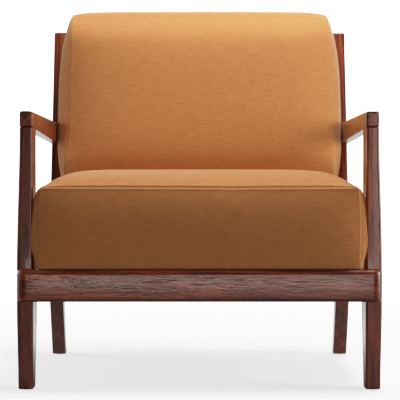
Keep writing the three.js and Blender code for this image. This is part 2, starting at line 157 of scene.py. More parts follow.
class Shader:
    """A small builder for one material's nodes."""

    def __init__(self, name, **settings):
        self.material = bpy.data.materials.new(name)
        self.material.use_nodes = True
        self.tree = self.material.node_tree
        self.surface = self.tree.nodes["Principled BSDF"]
        for socket, value in settings.items():
            self.surface.inputs[socket.replace("_", " ")].default_value = value

    def node(self, kind, values=None, **properties):
        made = self.tree.nodes.new("ShaderNode" + kind)
        for key, value in properties.items():
            setattr(made, key, value)
        for key, value in (values or {}).items():
            self.set(made.inputs[key], value)
        return made

    def set(self, socket, value):
        if isinstance(value, bpy.types.NodeSocket):
            self.tree.links.new(value, socket)
        else:
            socket.default_value = value

    def math(self, operation, a, b=0.0):
        return self.node("Math", {0: a, 1: b}, operation=operation).outputs[0]

    def blend(self, a, b, share):
        """A mixture of two values, with this share of the second."""
        return self.math("ADD", self.math("MULTIPLY", a, 1 - share), self.math("MULTIPLY", b, share))

    def scaled(self, vector, scale, location=(0, 0, 0), rotation=(0, 0, 0)):
        return self.node("Mapping", {"Vector": vector, "Scale": scale, "Location": location,
                                     "Rotation": rotation}).outputs[0]

    def noise(self, vector, scale, detail=3.0, rough=0.5, distortion=0.0):
        return self.node("TexNoise", {"Vector": vector, "Scale": scale, "Detail": detail,
                                      "Roughness": rough, "Distortion": distortion}).outputs["Fac"]

    def ramp(self, factor, *stops):
        made = self.node("ValToRGB", {"Fac": factor})
        elements = made.color_ramp.elements
        while len(elements) < len(stops):
            elements.new(0.5)
        for element, (position, color) in zip(elements, stops):
            element.position = position
            element.color = (*color, 1)
        return made.outputs["Color"]

    def between(self, value, low, high, out_low=0.0, out_high=1.0):
        return self.node("MapRange", {"Value": value, "From Min": low, "From Max": high,
                                      "To Min": out_low, "To Max": out_high}).outputs[0]

    def mix(self, factor, a, b, blend="MIX"):
        made = self.node("Mix", data_type="RGBA", blend_type=blend)
        self.set(made.inputs[0], factor)
        self.set(made.inputs[6], a if isinstance(a, bpy.types.NodeSocket) else (*a, 1))
        self.set(made.inputs[7], b if isinstance(b, bpy.types.NodeSocket) else (*b, 1))
        return made.outputs[2]

    def bump(self, height, strength, distance):
        values = {"Height": height, "Strength": strength, "Distance": distance}
        return self.node("Bump", values).outputs[0]

    def connect(self, **sockets):
        for socket, value in sockets.items():
            self.set(self.surface.inputs[socket.replace("_", " ")], value)
        return self.material


# ---- Wood -------------------------------------------------------------------------------------

WOOD_DARK = (0.042, 0.0068, 0.0030)
WOOD_MID = (0.225, 0.040, 0.0110)
WOOD_LIGHT = (0.490, 0.116, 0.028)
# Each layer of the figure: its fineness across and along the grain, then a noise's scale,
# detail, roughness and distortion.
WOOD_LAYERS = {
    "broad": ((9, 9, 1.2), 2.4, 4, 0.55, 1.2),
    "figure": ((38, 38, 2.0), 1.6, 5, 0.65, 1.4),
    "streaks": ((190, 190, 4.5), 1.0, 3, 0.6, 0.3),
    "pores": ((900, 900, 40), 1.0, 2, 0.5, 0.0),
    "ripple": ((230, 230, 80), 1.0, 3, 0.6, 0.5),
}


def lacquered_wood(name, rotation, shift):
    """Glossy reddish-brown hardwood whose grain runs along the rotated Z axis."""
    shader = Shader(name, IOR=1.5, Coat_Weight=0.7, Coat_Roughness=0.05, Coat_IOR=1.5)
    place = shader.node("TexCoord").outputs["Object"]
    turned = shader.scaled(place, (1, 1, 1), shift, rotation)
    layers = {layer: shader.noise(shader.scaled(turned, fineness), *noise)
              for layer, (fineness, *noise) in WOOD_LAYERS.items()}
    streak = shader.between(layers["streaks"], 0.52, 0.68)
    pore = shader.between(layers["pores"], 0.60, 0.70)

    tone = shader.blend(layers["broad"], layers["figure"], 0.58)
    color = shader.ramp(tone, (0.37, WOOD_DARK), (0.50, WOOD_MID), (0.64, WOOD_LIGHT))
    color = shader.mix(shader.math("MULTIPLY", streak, 0.60), color, WOOD_DARK)
    color = shader.mix(shader.math("MULTIPLY", pore, 0.5), color, WOOD_DARK)
    rough = shader.math("ADD", shader.math("MULTIPLY", layers["figure"], 0.14),
                        shader.math("MULTIPLY", pore, 0.12))
    raised = shader.math("ADD", layers["ripple"], shader.math("MULTIPLY", layers["streaks"], 0.4))
    height = shader.math("SUBTRACT", raised, shader.math("MULTIPLY", pore, 0.5))
    normal = shader.bump(height, 0.20, 0.0004)
    return shader.connect(Base_Color=color, Roughness=shader.math("ADD", rough, 0.22),
                          Normal=normal, Coat_Normal=normal)


def grain_rotations():
    """How the texture turns so that its Z axis lies along a member."""
    quarter = math.pi / 2
    return {"up": (0, 0, 0), "back": (quarter, 0, 0), "across": (0, quarter, 0),
            "stile": (BACK_LEAN, 0, 0)}


def plain_wood():
    """Pale unfinished hardwood for blocks and dowels."""
    shader = Shader("plain_wood", IOR=1.45)
    place = shader.node("TexCoord").outputs["Object"]
    figure = shader.noise(shader.scaled(place, (60, 60, 6)), 1.5, 4, 0.6, 0.6)
    fibres = shader.noise(shader.scaled(place, (700, 700, 30)), 1.0, 2)
    color = shader.ramp(figure, (0.35, (0.27, 0.155, 0.075)), (0.65, (0.44, 0.28, 0.15)))
    color = shader.mix(shader.between(fibres, 0.5, 0.75, 0, 0.3), color, (0.16, 0.085, 0.04))
    return shader.connect(Base_Color=color, Roughness=shader.between(figure, 0.3, 0.7, 0.6, 0.8),
                          Normal=shader.bump(fibres, 0.25, 0.0003))


# ---- Cloth, webbing and metal -----------------------------------------------------------------

CLOTH = (0.555, 0.252, 0.098)
THREAD = 1.15 * MM  # pitch of the cloth's threads
RIB = 2.5 * MM  # pitch of its faint crosswise ribs


def cloth(name):
    """Camel-coloured woollen cloth with a fine plain weave and uneven, slubby threads."""
    shader = Shader(name, IOR=1.45, Sheen_Weight=0.55, Sheen_Roughness=0.32,
                    Sheen_Tint=(1.0, 0.95, 0.88, 1))
    shader.surface.inputs["Specular IOR Level"].default_value = 0.12
    plan = shader.node("UVMap", uv_map="panel").outputs["UV"]
    drift = shader.noise(shader.scaled(plan, (7, 7, 1)), 1.0, 2)
    split = shader.node("SeparateXYZ", {0: plan})
    across = shader.math("ADD", split.outputs[1], shader.math("MULTIPLY", drift, 0.012))
    turn = 2 * math.pi / THREAD
    warp = shader.math("SINE", shader.math("MULTIPLY", split.outputs[0], turn))
    weft = shader.math("SINE", shader.math("MULTIPLY", split.outputs[1], turn))
    weave = shader.math("MULTIPLY", warp, weft)
    rib = shader.math("SINE", shader.math("MULTIPLY", across, 2 * math.pi / RIB))
    crosswise = shader.noise(shader.scaled(plan, (36, 620, 1)), 1.0, 3, 0.6)
    lengthwise = shader.noise(shader.scaled(plan, (640, 40, 1)), 1.0, 3, 0.6)
    mottle = shader.noise(shader.scaled(plan, (60, 60, 1)), 1.0, 4, 0.65)
    slubs = shader.blend(crosswise, lengthwise, 0.30)
    tone = shader.blend(slubs, mottle, 0.15)
    dark = tuple(c * 0.78 for c in CLOTH)
    light = tuple(c * gain for c, gain in zip(CLOTH, (1.18, 1.21, 1.25)))
    color = shader.ramp(tone, (0.34, dark), (0.50, CLOTH), (0.68, light))
    for pattern in (rib, weave):
        color = shader.mix(shader.between(pattern, -1, 1, 0.0, 0.14), color, dark)
    height = shader.math("ADD", shader.math("MULTIPLY", weave, 0.35), slubs)
    return shader.connect(Base_Color=color, Roughness=shader.between(slubs, 0.3, 0.7, 0.92, 0.78),
                          Normal=shader.bump(height, 0.35, 0.0006))


def webbing():
    """Dark elastic webbing with lengthwise ribs."""
    shader = Shader("webbing", IOR=1.45)
    place = shader.node("TexCoord").outputs["Object"]
    ribs = shader.node("TexWave", {"Vector": place, "Scale": 95.0, "Distortion": 0.3},
                       bands_direction="Y").outputs["Fac"]
    dust = shader.noise(place, 260, 3)
    color = shader.mix(ribs, (0.016, 0.010, 0.008), (0.038, 0.026, 0.020))
    color = shader.mix(shader.between(dust, 0.5, 0.8, 0, 0.25), color, (0.09, 0.07, 0.055))
    return shader.connect(Base_Color=color, Roughness=shader.between(dust, 0.3, 0.7, 0.7, 0.9),
                          Normal=shader.bump(ribs, 0.5, 0.0005))


def steel(name, tint, roughness):
    """Plated steel with fine scratches and slight dulling."""
    shader = Shader(name, Metallic=1.0)
    place = shader.node("TexCoord").outputs["Object"]
    dull = shader.noise(place, 160, 4, 0.6)
    scratch = shader.noise(shader.scaled(place, (90, 2400, 2400)), 1.0, 2)
    color = shader.mix(shader.between(dull, 0.45, 0.75, 0, 0.6), tint, tuple(c * 0.6 for c in tint))
    rough = shader.between(dull, 0.3, 0.7, roughness - 0.08, roughness + 0.14)
    return shader.connect(Base_Color=color, Roughness=rough,
                          Normal=shader.bump(scratch, 0.08, 0.0002))


# ---- Wooden members ---------------------------------------------------------------------------

CORNER_STEPS = 5  # in the rounding of a long edge
END_STEPS = 5  # in the rounding of an end
SMALLEST_RADIUS = 0.3 * MM
LEG_RINGS, ARM_RINGS, FRONT_RAIL_RINGS, REAR_LEG_RINGS = 40, 24, 12, 70

# Radii of the members' long edges, and of the roundings at their two ends.
FRONT_LEG_EDGES, FRONT_LEG_ENDS = {"front": 6 * MM, "rear": 4 * MM}, (2.5 * MM, 0.8 * MM)
ARM_EDGES, ARM_ENDS = {"top": 6 * MM, "bottom": 2.5 * MM}, (4.5 * MM, 0.5 * MM)
FRONT_RAIL_EDGES = {"rear": 1.5 * MM, "top": 10 * MM, "bottom": 8 * MM}
FRONT_RAIL_ENDS = (0.5 * MM, 0.5 * MM)
REAR_LEG_EDGE, REAR_LEG_ENDS = 4 * MM, (2 * MM, 5 * MM)

# A rear leg's back edge is straight up to a curve around the knee, and straight again above it.
CURVE_START = 0.45  # share of the way from the knee down to the foot
CURVE_END = 0.25  # share of the way from the knee up to the stile's top
CURVE_LOWER = 1 - CURVE_START  # the curve's start and end, as shares of the front edge's parts
CURVE_UPPER = 0.22
KNEE_RISE = 8 * MM  # how much higher the curve's control point is than the knee


def rounded_rectangle(a0, a1, b0, b1, radii, inset):
    """Points round a rectangle whose corners (a1,b0), (a1,b1), (a0,b1), (a0,b0) have these radii."""
    a0, a1, b0, b1 = a0 + inset, a1 - inset, b0 + inset, b1 - inset
    points = []
    corners = ((a1, b0, -1, 1, -90), (a1, b1, -1, -1, 0), (a0, b1, 1, -1, 90), (a0, b0, 1, 1, 180))
    for (a, b, in_a, in_b, start), radius in zip(corners, radii):
        r = max(radius - inset, SMALLEST_RADIUS)
        for i in range(CORNER_STEPS + 1):
            angle = math.radians(start + 90 * i / CORNER_STEPS)
            points.append((a + in_a * r + r * math.cos(angle), b + in_b * r + r * math.sin(angle)))
    return points


def skin(name, rings):
    """A closed mesh over a row of rings with equally many points."""
    mesh = bpy.data.meshes.new(name)
    build = bmesh.new()
    rows = [[build.verts.new(point) for point in ring] for ring in rings]
    count = len(rings[0])
    for row, after in zip(rows, rows[1:]):
        for i in range(count):
            j = (i + 1) % count
            build.faces.new((row[i], row[j], after[j], after[i]))
    build.faces.new(list(reversed(rows[0])))
    build.faces.new(rows[-1])
    bmesh.ops.recalc_face_normals(build, faces=build.faces)
    build.to_mesh(mesh)
    build.free()
    mesh.shade_smooth()
    return new_object(name, mesh)


def member(name, length, section, stops, ends):
    """A rounded wooden member. section(d) gives origin, two axes, a rectangle and corner radii
    at a distance d along it; ends are the radii of the rounding at its two ends."""
    def ring(distance, inset):
        origin, axis_a, axis_b, (a0, a1, b0, b1), radii = section(distance)
        return [origin + axis_a * a + axis_b * b
                for a, b in rounded_rectangle(a0, a1, b0, b1, radii, inset)]

    turns = [math.radians(90 * i / END_STEPS) for i in range(END_STEPS + 1)]
    first = [ring(ends[0] * (1 - math.cos(t)), ends[0] * (1 - math.sin(t))) for t in turns]
    last = [ring(length - ends[1] * (1 - math.cos(t)), ends[1] * (1 - math.sin(t))) for t in turns]
    middle = [ring(d, 0) for d in stops if ends[0] < d < length - ends[1]]
    obj = skin(name, first + middle + last[::-1])
    normals = obj.modifiers.new("even_shading", "WEIGHTED_NORMAL")
    normals.keep_sharp = True
    normals.weight = 100
    return obj


def sided(side, low, high):
    """An X range on the sitter's left, or its mirror image on the right."""
    return (low, high) if side > 0 else (-high, -low)


def sided_radii(side, inner_front, outer_front, outer_rear, inner_rear):
    """Corner radii in a member's order for a section drawn in X and then backwards."""
    if side > 0:
        return (outer_front, outer_rear, inner_rear, inner_front)
    return (inner_front, inner_rear, outer_rear, outer_front)


def front_leg_piece(name, side):
    """A front leg: a board that is deepest and widest at the seat rail."""
    def depth(z):
        if z < LEG_BELLY[0]:
            return lerp(LEG_FOOT["depth"], LEG_RAIL_DEPTH, smooth(z, -20 * MM, LEG_BELLY[0]))
        return lerp(LEG_RAIL_DEPTH, LEG_HEAD["depth"], smooth(z, LEG_BELLY[1], 0.8 * LEG_TOP))

    def outer(z):
        if z < LEG_BELLY[0]:
            return lerp(LEG_FOOT["outer"], LEG_RAIL_OUTER_X, smooth(z, 0, LEG_BELLY[0]))
        return lerp(LEG_RAIL_OUTER_X, LEG_HEAD["outer"], smooth(z, LEG_BELLY[1], LEG_TOP))

    def section(distance):
        z = FLOOR_CLEARANCE + distance
        rectangle = (*sided(side, LEG_INNER_X, outer(z)), 0, depth(z))
        front, rear = FRONT_LEG_EDGES["front"], FRONT_LEG_EDGES["rear"]
        radii = sided_radii(side, front, front, rear, rear)
        return Vector((0, FRONT_Y, z)), X_AXIS, Y_AXIS, rectangle, radii

    length = LEG_TOP - FLOOR_CLEARANCE - LEG_JOINT
    stops = spread(0, length, LEG_RINGS)
    return member(f"wood_front_leg_{name}", length, section, stops, FRONT_LEG_ENDS)


def arm_piece(name, side):
    """An arm: a square-edged bar, narrower and taller towards the back."""
    length = arm_box[1].y - arm_box[0].y

    def section(distance):
        along = distance / length
        bottom_y = along * (rear_front(ARM_REAR["bottom"]) - FRONT_Y)
        bottom_z = lerp(LEG_TOP + ARM_JOINT, ARM_REAR["bottom"], along)
        top_y = along * (rear_front(ARM_REAR["top"]) - FRONT_Y)
        top_z = lerp(ARM_FRONT["top"], ARM_REAR["top"], along)
        bottom = Vector((0, FRONT_Y + bottom_y, bottom_z))
        up = Vector((0, FRONT_Y + top_y, top_z)) - bottom
        x_range = sided(side, lerp(ARM_FRONT["inner"], ARM_REAR["inner"], along),
                        lerp(ARM_FRONT["outer"], ARM_REAR["outer"], along))
        top_edge, low_edge = ARM_EDGES["top"], ARM_EDGES["bottom"]
        radii = (low_edge, top_edge, top_edge, low_edge)
        return bottom, X_AXIS, up.normalized(), (*x_range, 0, up.length), radii

    return member(f"wood_arm_{name}", length, section, spread(0, length, ARM_RINGS), ARM_ENDS)


def quarter_round(distance, radius):
    """How far a rounded corner stands back, at a distance from its end."""
    if distance >= radius:
        return 0.0
    return radius - math.sqrt(max(0.0, radius ** 2 - (radius - distance) ** 2))


def front_rail_piece():
    """The front rail: a broad board with rounded ends and softened edges."""
    low, high = front_rail_box
    radius, length = FRONT_RAIL_END_RADIUS, high.x - low.x

    def section(distance):
        from_end = min(distance, length - distance)
        front = low.y + quarter_round(from_end, radius)
        depth = high.y - front
        rear_edge = min(FRONT_RAIL_EDGES["rear"], 0.3 * depth)
        top_edge = min(FRONT_RAIL_EDGES["top"], 0.6 * depth)
        low_edge = min(FRONT_RAIL_EDGES["bottom"], 0.6 * depth)
        radii = (rear_edge, rear_edge, top_edge, low_edge)
        drop = quarter_round(from_end, FRONT_RAIL_CORNER)
        rectangle = (front, high.y, low.z + drop, high.z - drop)
        return Vector((low.x + distance, 0, 0)), Y_AXIS, Z_AXIS, rectangle, radii

    arc = [radius * (1 - math.cos(math.radians(a))) for a in range(14, 91, 4)]
    straight = spread(radius, length - radius, FRONT_RAIL_RINGS)[1:-1]
    stops = arc + straight + [length - d for d in reversed(arc)]
    return member("wood_front_rail", length, section, stops, FRONT_RAIL_ENDS)


def rear_leg_piece(name, side):
    """A rear leg and its stile: one board, bent at the knee."""
    foot_front = Vector((0, rear_front(FLOOR_CLEARANCE), FLOOR_CLEARANCE))
    foot_rear = foot_front + Y_AXIS * REAR_FOOT_DEPTH
    knee = Vector((0, KNEE_Y, KNEE_Z))
    knee_rear = knee + Vector((0, KNEE_DEPTH, KNEE_RISE))
    top_front = Vector((0, rear_front(STILE_TOP), STILE_TOP))
    top_rear = top_front + Vector((0, math.cos(BACK_LEAN), -math.sin(BACK_LEAN))) * STILE_DEPTH
    bend_start = knee_rear.lerp(foot_rear, CURVE_START)
    bend_end = knee_rear.lerp(top_rear, CURVE_END)
    lower, upper = (knee - foot_front).length, (top_front - knee).length

    def bend(t):
        """A quadratic curve around the knee's rear."""
        return bend_start.lerp(knee_rear, t).lerp(knee_rear.lerp(bend_end, t), t)

    def edges(distance):
        """The front and rear edges' points at a distance up the front edge."""
        if distance < lower:
            t = distance / lower
            if t < CURVE_LOWER:
                rear = foot_rear.lerp(bend_start, t / CURVE_LOWER)
            else:
                rear = bend((t - CURVE_LOWER) / (2 * CURVE_START))
            return foot_front.lerp(knee, t), rear
        t = (distance - lower) / upper
        if t < CURVE_UPPER:
            rear = bend(0.5 + t / (2 * CURVE_UPPER))
        else:
            rear = bend_end.lerp(top_rear, (t - CURVE_UPPER) / (1 - CURVE_UPPER))
        return knee.lerp(top_front, t), rear

    def section(distance):
        front, rear = edges(distance)
        rectangle = (*sided(side, rear_leg[0].x, rear_leg[1].x), 0, (rear - front).length)
        return front, X_AXIS, (rear - front).normalized(), rectangle, (REAR_LEG_EDGE,) * 4

    length = lower + upper
    stops = spread(0, length, REAR_LEG_RINGS)
    return member(f"wood_rear_leg_{name}", length, section, stops, REAR_LEG_ENDS)


def build_wood():
    """The shaped members as new pieces, and the other rails and slats as the CAD's own."""
    turns = grain_rotations()

    def wood(name, direction):
        shift = [random.uniform(-4, 4) for _ in range(3)]
        return lacquered_wood(f"lacquered_wood_{name}", turns[direction], shift)

    for name, side in SIDES:
        for piece, node, grain in ((front_leg_piece(name, side), f"front_leg_{name}", "up"),
                                   (arm_piece(name, side), f"arm_{name}", "back"),
                                   (rear_leg_piece(name, side), f"rear_leg_{name}", "stile")):
            finish_piece(piece, wood(node, grain), "frame", "lacquered_wood", node)
    finish_piece(front_rail_piece(), wood("front_rail", "across"), "frame", "lacquered_wood",
                 "front_rail")
    kept = [(f"side_rail_{name}", "back", 2.5) for name, _ in SIDES]
    kept += [("rear_rail", "across", 2.5), ("back_top_rail", "across", 3), ("back_lower_rail", "across", 3)]
    kept += [(f"back_slat_{i}", "stile", 2.2) for i in range(1, 8)]
    for node, grain, radius in kept:
        dress_node(node, wood(node, grain), radius * MM)


def dress_node(node, material, radius=0.0):
    """Gives a CAD node its material and, where it has sharp edges, a small rounding."""
    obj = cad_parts[node]
    obj.data.materials.clear()
    obj.data.materials.append(material)
    if radius:
        rounding = obj.modifiers.new("rounding", "BEVEL")
        rounding.width = radius
        rounding.segments = 3
        rounding.limit_method = "ANGLE"
        rounding.angle_limit = math.radians(50)
        rounding.harden_normals = True


def build_hardware():
    """Materials for the blocks, dowels, clips, glides and bolts."""
    block = plain_wood()
    plate = steel("plated_steel", (0.56, 0.54, 0.50), 0.32)
    dark_steel = steel("bolt_steel", (0.42, 0.40, 0.37), 0.38)
    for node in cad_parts:
        if "corner_block" in node:
            dress_node(node, block, 1.2 * MM)
        elif "dowel" in node:
            dress_node(node, block)
        elif "clip" in node:
            dress_node(node, plate, 0.7 * MM)
        elif "glide" in node:
            dress_node(node, plate)
        elif "bolt" in node:
            dress_node(node, dark_steel, 0.4 * MM)


# ---- Cushions ---------------------------------------------------------------------------------

# Distances from a seam, at which a cushion's skin has a line of vertices.
SEAM_LINES = [d * MM for d in (0, 1.2, 2.4, 3.8, 5.4, 7.4, 10, 13.5, 18, 24, 32)]


def grid_lines(low, high):
    """Coordinates from low to high, close together near both ends."""
    near = [low + d for d in SEAM_LINES]
    far = [high - d for d in reversed(SEAM_LINES)]
    count = max(2, round((far[0] - near[-1]) / SKIN_PITCH) + 1)
    return near + spread(near[-1], far[0], count)[1:-1] + far


def box_skin(name, lines):
    """A box's skin as a grid along three lists of coordinates, with a UV map for each panel.
    Returns the mesh and, for each vertex, its place on the plain box."""
    mesh = bpy.data.meshes.new(name)
    build = bmesh.new()
    uv_layer = build.loops.layers.uv.new("panel")
    verts, home = {}, []

    def vert(key):
        if key not in verts:
            point = Vector(lines[axis][index] for axis, index in enumerate(key))
            verts[key] = build.verts.new(point)
            home.append(point)
        return verts[key]

    for axis in range(3):
        b, c = [other for other in range(3) if other != axis]
        for end in (0, len(lines[axis]) - 1):
            for i in range(len(lines[b]) - 1):
                for j in range(len(lines[c]) - 1):
                    corners = []
                    for di, dj in ((0, 0), (1, 0), (1, 1), (0, 1)):
                        key = [0, 0, 0]
                        key[axis], key[b], key[c] = end, i + di, j + dj
                        corners.append(vert(tuple(key)))
                    face = build.faces.new(corners)
                    face.smooth = True
                    for loop in face.loops:
                        loop[uv_layer].uv = (loop.vert.co[b], loop.vert.co[c])
    bmesh.ops.recalc_face_normals(build, faces=build.faces)
    build.verts.index_update()
    build.to_mesh(mesh)
    build.free()
    return mesh, home


def round_corner(a, b, radius_a, radius_b):
    """Maps two distances from a square corner to those from an elliptical one."""
    if a >= radius_a or b >= radius_b:
        return a, b
    p, q = 1 - a / radius_a, 1 - b / radius_b
    return (radius_a * (1 - p * math.sqrt(1 - q * q / 2)),
            radius_b * (1 - q * math.sqrt(1 - p * p / 2)))


GROOVE_WIDTH = 1.6 * MM
RIDGE = {"place": 4.6 * MM, "width": 2.2 * MM, "height": 0.3}  # its height as a share of the groove's


def seam_profile(distance, depth):
    """How far the skin stands out beside a seam: a sharp groove, then a low ridge."""
    groove = math.exp(-(distance / GROOVE_WIDTH) ** 2)
    ridge = math.exp(-((distance - RIDGE["place"]) / RIDGE["width"]) ** 2)
    return (RIDGE["height"] * ridge - groove) * depth


CLOTH_PITCH = 14 * MM
CLOTH_FRAMES = 20
CLOTH_REACH = 5 * MM  # the farthest the filling may push the cloth
CLOTH_STIFFNESS, CLOTH_BENDING, CLOTH_PRESSURE, CLOTH_MASS = 40, 0.5, 0.5, 0.3
SKIN_PITCH = 13 * MM  # between lines of vertices, away from the seams


def cloth_offsets(name, lines, shape, free):
    """Inflates a plainer copy of a cushion as cloth. Gives a function from a point on its box to
    how far the filling pushes it; free() is 0 where the cushion rests on something and 1 away
    from there."""
    even = [spread(line[0], line[-1], round((line[-1] - line[0]) / CLOTH_PITCH) + 1) for line in lines]
    mesh, home = box_skin(name, even)
    start = [shape(*point) for point in home]
    for vertex, point in zip(mesh.vertices, start):
        vertex.co = point
    pad = new_object(name, mesh)
    modifier = pad.modifiers.new("filling", "CLOTH")
    settings = modifier.settings
    settings.quality = 6
    settings.mass = CLOTH_MASS
    settings.tension_stiffness = settings.compression_stiffness = CLOTH_STIFFNESS
    settings.bending_stiffness = CLOTH_BENDING
    settings.use_pressure = True
    settings.uniform_pressure_force = CLOTH_PRESSURE
    settings.effector_weights.gravity = 0
    scene = bpy.context.scene
    modifier.point_cache.frame_start, modifier.point_cache.frame_end = 1, CLOTH_FRAMES
    for number in range(1, CLOTH_FRAMES + 1):
        scene.frame_set(number)
    filled = pad.evaluated_get(bpy.context.evaluated_depsgraph_get()).data

    tree = kdtree.KDTree(len(home))
    offsets = []
    for i, (vertex, point) in enumerate(zip(filled.vertices, start)):
        move = vertex.co - point
        reach = CLOTH_REACH * (1 - math.exp(-move.length / (3 * CLOTH_REACH)))
        offsets.append(move.normalized() * reach * free(*home[i]))
        tree.insert(home[i], i)
    tree.balance()
    bpy.data.objects.remove(pad)
    scene.frame_set(1)

    def offset(point):
        """The push at any point of the box: a weighted mean over the points nearby."""
        total, weights = Vector((0, 0, 0)), 0.0
        for _, i, distance in tree.find_range(point, 2.2 * CLOTH_PITCH):
            weight = math.exp(-(distance / CLOTH_PITCH) ** 2)
            total += offsets[i] * weight
            weights += weight
        return total / weights

    return offset


def shape_cushion(name, lines, shape, seam, free, to_chair):
    """Swells a box skin with shape() and its filling, presses in its seams and moves it into the
    chair. seam() gives a point's distance from the nearest seam and that seam's depth."""
    mesh, home = box_skin(name, lines)
    push = cloth_offsets(f"{name}_filling", lines, shape, free)
    for vertex, point in zip(mesh.vertices, home):
        vertex.co = shape(*point) + (push(point) if push else Vector())
    mesh.update()
    normals = [vertex.normal.copy() for vertex in mesh.vertices]
    for vertex, normal, point in zip(mesh.vertices, normals, home):
        vertex.co = vertex.co + normal * seam_profile(*seam(*point))
    for vertex in mesh.vertices:
        vertex.co = to_chair(*vertex.co)
    mesh.update()
    return new_object(name, mesh)


# The seat cushion's box, in the deck's frame, and how far its panels stand out from the box.
SEAT = {"half": 319 * MM, "front": -15 * MM, "rear": 545 * MM, "height": 161.5 * MM}
SEAT_SIDE_SWELL = {"seam": 4 * MM, "free": 19 * MM, "held": 11 * MM, "rear": 3 * MM}
SEAT_FREE_FROM = 13 * MM  # behind the front seam, where a side panel has its full swell
SEAT_HELD_FROM, SEAT_HELD_TO = 14 * MM, 20 * MM  # behind it, where the leg comes to hold it in
SEAT_FRONT_SWELL, SEAT_REAR_SWELL = 11.5 * MM, 6 * MM
SEAT_FOOT_SWELL = 4.5 * MM  # at the very bottom of the side panels
SEAT_FOOT_HEIGHT = 22 * MM
SEAT_CROWN = 44 * MM
SEAT_SETTLE = 2.5 * MM  # how far the bottom sinks onto the straps, away from its front edge
SEAT_CORNER_RADIUS = {"top": 5 * MM, "bottom": 3 * MM}
SEAT_CORNER_REACH = 26 * MM
SEAT_SEAM_DEPTH = {"bottom": 0.5 * MM, "above": 2.3 * MM}


def seat_shape(x, y, z):
    """The seat cushion's swollen form, in the deck's frame."""
    half, front, rear, height = (SEAT[key] for key in ("half", "front", "rear", "height"))
    tx, ty, tz = x / half, 2 * (y - front) / (rear - front) - 1, 2 * z / height - 1
    side, ahead, upper = math.copysign(1, x), ty < 0, tz > 0
    behind_seam = y - front

    # Between the front legs and arms the boxing is held in; ahead of the legs it bulges freely.
    bulge = lerp(SEAT_SIDE_SWELL["seam"], SEAT_SIDE_SWELL["free"], smooth(behind_seam, 0, SEAT_FREE_FROM))
    bulge = lerp(bulge, SEAT_SIDE_SWELL["held"], smooth(behind_seam, SEAT_HELD_FROM, SEAT_HELD_TO))
    bulge = lerp(bulge, SEAT_SIDE_SWELL["rear"], smooth(y, rear - 60 * MM, rear))
    foot = SEAT_FOOT_SWELL * (1 - smooth(z, 0, SEAT_FOOT_HEIGHT)) * smooth(behind_seam, 2 * MM, 9 * MM)
    swell_x = side * (bulge * dome(tz, 3.8 if upper else 2.8) + foot) * abs(tx) ** 3

    if ahead:
        swell_y = -SEAT_FRONT_SWELL * dome(tz, 2.3) * dome(tx, 12) * abs(ty) ** 3
    else:
        swell_y = SEAT_REAR_SWELL * dome(tz, 2.5) * dome(tx, 10) * abs(ty) ** 3
    across = dome(tx, 10 if ahead else lerp(10, 16, ty))
    crown = SEAT_CROWN * across * dome(ty, 6 if ahead else 11) * ((tz + 1) / 2) ** 2
    settle = SEAT_SETTLE * smooth(y, 4 * MM, 30 * MM) * ((1 - tz) / 2) ** 2

    # The boxed corners are rounded where three panels meet.
    nearness = math.exp(-(min(behind_seam, rear - y) / SEAT_CORNER_REACH) ** 2)
    radius = SEAT_CORNER_RADIUS["top" if upper else "bottom"]
    gap_x, gap_z = half - abs(x), (height - z if upper else z)
    round_x, round_z = round_corner(gap_x, gap_z, radius, radius)
    move_x = -side * (round_x - gap_x) * nearness
    move_z = (-1 if upper else 1) * (round_z - gap_z) * nearness
    return Vector((x + swell_x + move_x, y + swell_y, z + crown - settle + move_z))


def seat_seam(x, y, z):
    """Every edge of the boxed cushion is a seam; the lower ones are pressed flat on the deck."""
    gaps = sorted((SEAT["half"] - abs(x), min(y - SEAT["front"], SEAT["rear"] - y),
                   min(z, SEAT["height"] - z)))
    depth = lerp(SEAT_SEAM_DEPTH["bottom"], SEAT_SEAM_DEPTH["above"], smooth(z, 4 * MM, 30 * MM))
    return gaps[1], depth * lerp(0.4, 1, smooth(gaps[2], 0, 12 * MM))


def seat_free(x, y, z):
    """0 where the seat cushion rests on the deck, and 1 well above it."""
    return smooth(z, 0, 40 * MM)


# The back cushion's box, in the back's frame, and how far its panels stand out from the box.
BACK = {"half": 299 * MM, "front": -118 * MM, "rear": -3 * MM, "bottom": 181 * MM, "top": 622.5 * MM}
BACK_SIDE_SWELL, BACK_FRONT_SWELL = 28.5 * MM, 18 * MM
BACK_FOOT_WIDENING = 7 * MM  # the sides stand wider apart at the bottom
BACK_CROWN, BACK_DROOP = 9 * MM, 9 * MM  # in the middle of the top and of the bottom
BACK_SEAM_DEPTH = 1.3 * MM
BACK_ROUNDING = {  # across and up, at each long edge
    ("front", "top"): (70 * MM, 92 * MM), ("rear", "top"): (42 * MM, 36 * MM),
    ("front", "bottom"): (36 * MM, 74 * MM), ("rear", "bottom"): (12 * MM, 14 * MM),
}


